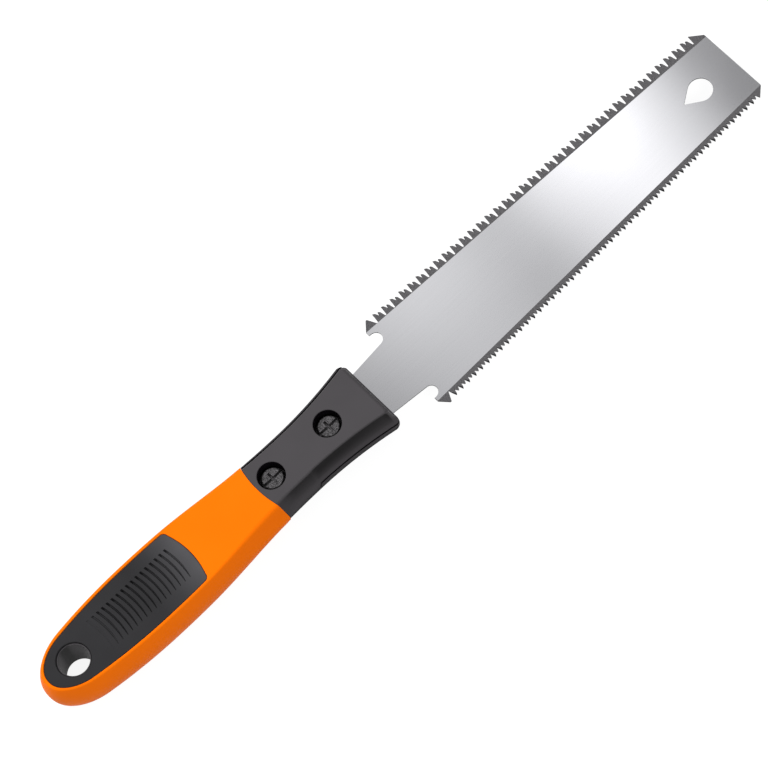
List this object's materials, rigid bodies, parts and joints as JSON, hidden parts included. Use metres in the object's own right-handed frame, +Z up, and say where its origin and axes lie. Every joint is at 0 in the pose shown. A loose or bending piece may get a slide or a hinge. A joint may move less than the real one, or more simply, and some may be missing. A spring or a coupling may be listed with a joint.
{
  "type": "pull saw",
  "caption": "Double-edged pull saw with a tapered toothed blade, a screwed two-part blade clamp and an over-moulded grip with ribbed pads and a hanging hole.",
  "frame": {"origin": "centre of the saw's outline, on the plane that the handle lies on", "axes": "+X from the butt of the grip to the tip of the blade, +Y across the blade towards its coarse teeth, +Z up through the handle's thickness, out of the face with the clamp screws"},
  "size_m": [0.3064, 0.041, 0.016],
  "materials": {
    "orange_overmould": "satin, smooth",
    "grip_rubber": "matt, ribbed",
    "black_plastic": "fine-grained satin",
    "plated_steel": "dull plated",
    "blade_steel": "ground along the plate, with darker hardened teeth"
  },
  "bodies": {
    "handle": {"handle_core": "black_plastic", "grip_sleeve": "orange_overmould", "grip_pad_upper": "grip_rubber", "grip_pad_lower": "grip_rubber", "clamp_nut_rear": "plated_steel", "clamp_nut_front": "plated_steel"},
    "clamp_cover": {"clamp_cover": "black_plastic"},
    "clamp_screw_rear": {"clamp_screw_rear": "plated_steel"},
    "clamp_screw_front": {"clamp_screw_front": "plated_steel"},
    "blade": {"blade": "blade_steel"}
  },
  "joints": [
    {"name": "blade_slide", "type": "slide", "parent": "handle", "child": "blade", "axis": [1, 0, 0], "range_m": [0, 0.055]},
    {"name": "cover_lift", "type": "slide", "parent": "handle", "child": "clamp_cover", "axis": [0, 0, 1], "range_m": [0, 0.012]},
    {"name": "screw_rear_turn", "type": "hinge", "parent": "clamp_cover", "child": "clamp_screw_rear", "pos_m": [-0.05315, -0.00001, 0.0107], "axis": [0, 0, 1], "continuous": true},
    {"name": "screw_front_turn", "type": "hinge", "parent": "clamp_cover", "child": "clamp_screw_front", "pos_m": [-0.02835, -0.00001, 0.0107], "axis": [0, 0, 1], "continuous": true}
  ]
}
